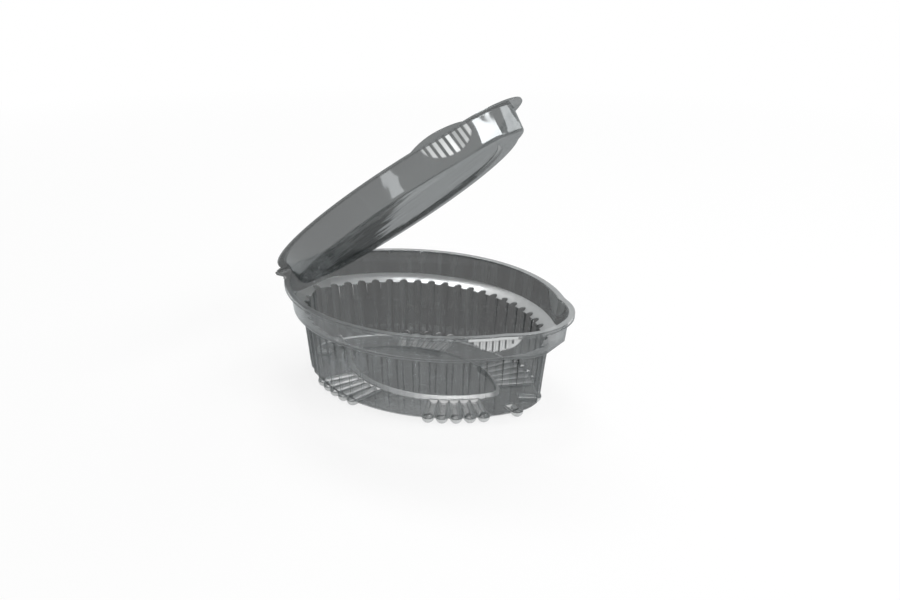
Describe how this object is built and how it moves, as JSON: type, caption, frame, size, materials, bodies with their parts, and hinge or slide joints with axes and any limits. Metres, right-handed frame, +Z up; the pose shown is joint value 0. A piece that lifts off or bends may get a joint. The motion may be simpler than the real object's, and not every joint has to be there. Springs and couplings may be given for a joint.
{
  "type": "sauce cup",
  "caption": "Clear oval sauce cup with fluted sides, radial feet and a plug lid that folds on a hinge at one end",
  "frame": {"origin": "on the table under the middle of the cup's length and width, with the feet on z = 0", "axes": "+X from the hinge to the opening end, +Y across the cup, +Z up out of the cup's mouth"},
  "size_m": [0.0986, 0.0742, 0.0938],
  "materials": {
    "clear_plastic": "glossy clear formed plastic sheet"
  },
  "bodies": {
    "cup": {"cup": "clear_plastic"},
    "lid": {"lid": "clear_plastic"}
  },
  "joints": [
    {"name": "lid_fold", "type": "hinge", "parent": "cup", "child": "lid", "pos_m": [-0.04888, 0, 0.03112], "axis": [0, 1, 0], "range_deg": [-139, 38.8]}
  ]
}
